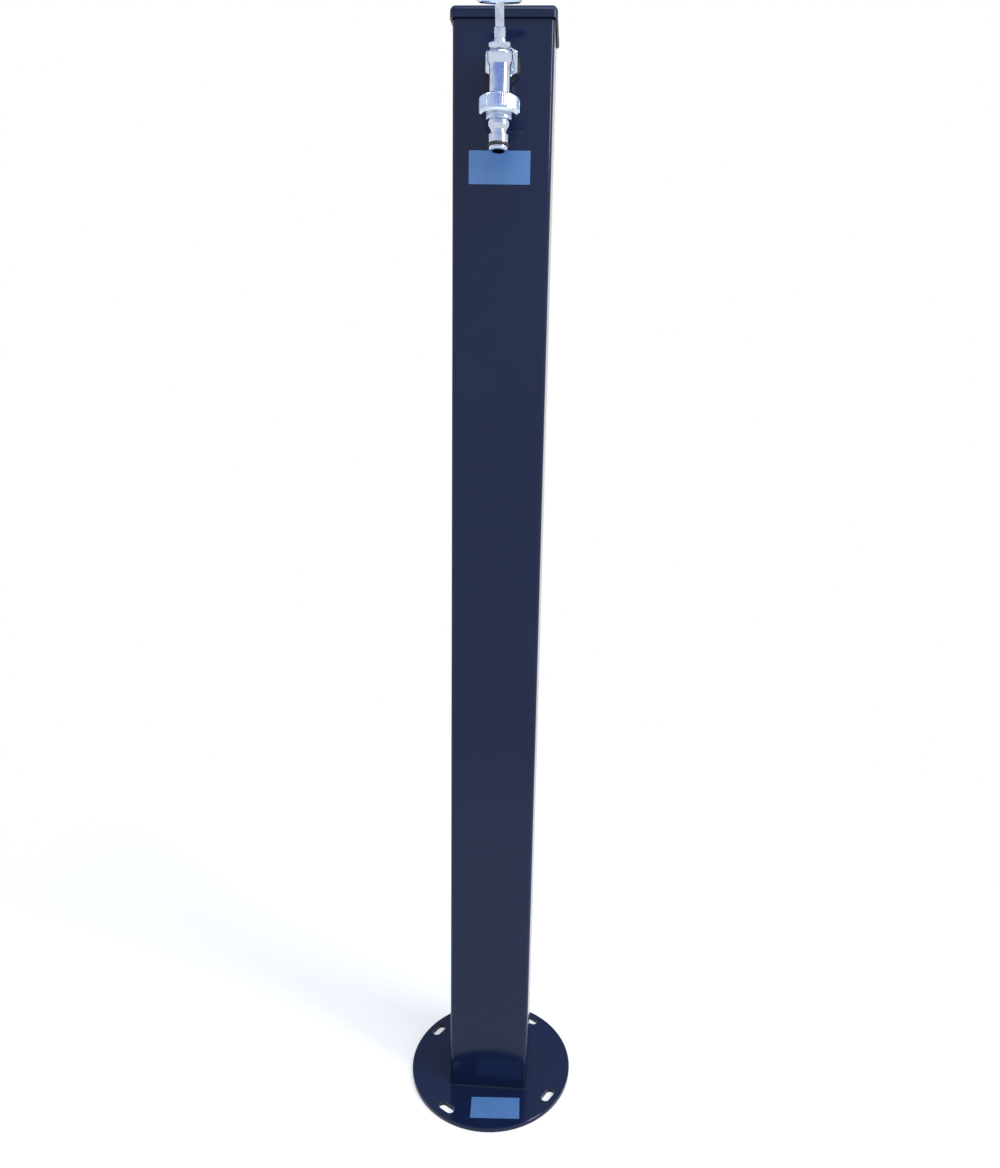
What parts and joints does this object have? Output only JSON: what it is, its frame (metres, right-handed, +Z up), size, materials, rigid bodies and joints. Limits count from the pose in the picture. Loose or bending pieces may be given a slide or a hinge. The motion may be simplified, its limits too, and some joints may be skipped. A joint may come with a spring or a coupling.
{
  "type": "garden standpipe",
  "caption": "Garden standpipe: a dark coated post on a round slotted foot plate, with a lift-off cap and a chrome tap with a T-handle and hose nipple.",
  "frame": {"origin": "centre of the foot plate's underside, on the ground", "axes": "+Z up the post, the tap faces -Y, +X to the right of someone who faces the tap"},
  "size_m": [0.17, 0.17, 1.01],
  "materials": {
    "coated_steel": "glossy bluish anthracite powder coat",
    "chrome": "polished chrome plate",
    "brass": "machined brass",
    "plain_steel": "plain stainless",
    "rubber": "matt black",
    "white_seal": "off-white packing"
  },
  "bodies": {
    "standpipe": {"base_plate": "coated_steel", "post_tube": "coated_steel", "foot_weld": "coated_steel", "inlet_seal": "rubber", "tap_body": "chrome", "wall_washer": "plain_steel", "back_nut": "brass", "wall_elbow": "brass", "elbow_olive": "brass", "elbow_nut": "brass", "riser_pipe": "plain_steel", "adapter_nut": "brass", "adapter_olive": "brass", "supply_adapter": "brass", "headwork": "chrome", "headwork_seal": "white_seal", "gland_packing": "white_seal", "gland_nut": "chrome"},
    "cap": {"post_cap": "coated_steel"},
    "valve": {"jumper": "brass", "seat_washer": "rubber", "washer_screw": "brass"},
    "handle": {"spindle": "brass", "t_handle": "chrome", "handle_pin": "plain_steel"},
    "hose_connector": {"hose_nipple": "chrome", "nipple_seal": "rubber", "nipple_o_ring": "rubber"},
    "nut": {"union_nut": "chrome"}
  },
  "joints": [
    {"name": "cap_lift", "type": "slide", "parent": "standpipe", "child": "cap", "axis": [0, 0, 1], "range_m": [0, 0.03]},
    {"name": "valve_lift", "type": "slide", "parent": "standpipe", "child": "valve", "axis": [0, -0.3256, 0.9455], "range_m": [0, 0.003]},
    {"name": "handle_turn", "type": "hinge", "parent": "valve", "child": "handle", "pos_m": [0, -0.06351, 0.98291], "axis": [0, -0.3256, 0.9455], "range_deg": [0, 720]},
    {"name": "connector_drop", "type": "slide", "parent": "standpipe", "child": "hose_connector", "axis": [0, -0.0872, -0.9962], "range_m": [0, 0.00765]},
    {"name": "nut_turn", "type": "hinge", "parent": "hose_connector", "child": "nut", "pos_m": [0, -0.05988, 0.93113], "axis": [0, -0.0872, -0.9962], "range_deg": [0, 1530]}
  ],
  "couplings": [
    {"joint": "handle_turn", "follows": "valve_lift", "rad_per_m": 4188.8},
    {"joint": "nut_turn", "follows": "connector_drop", "rad_per_m": 3490.7}
  ]
}
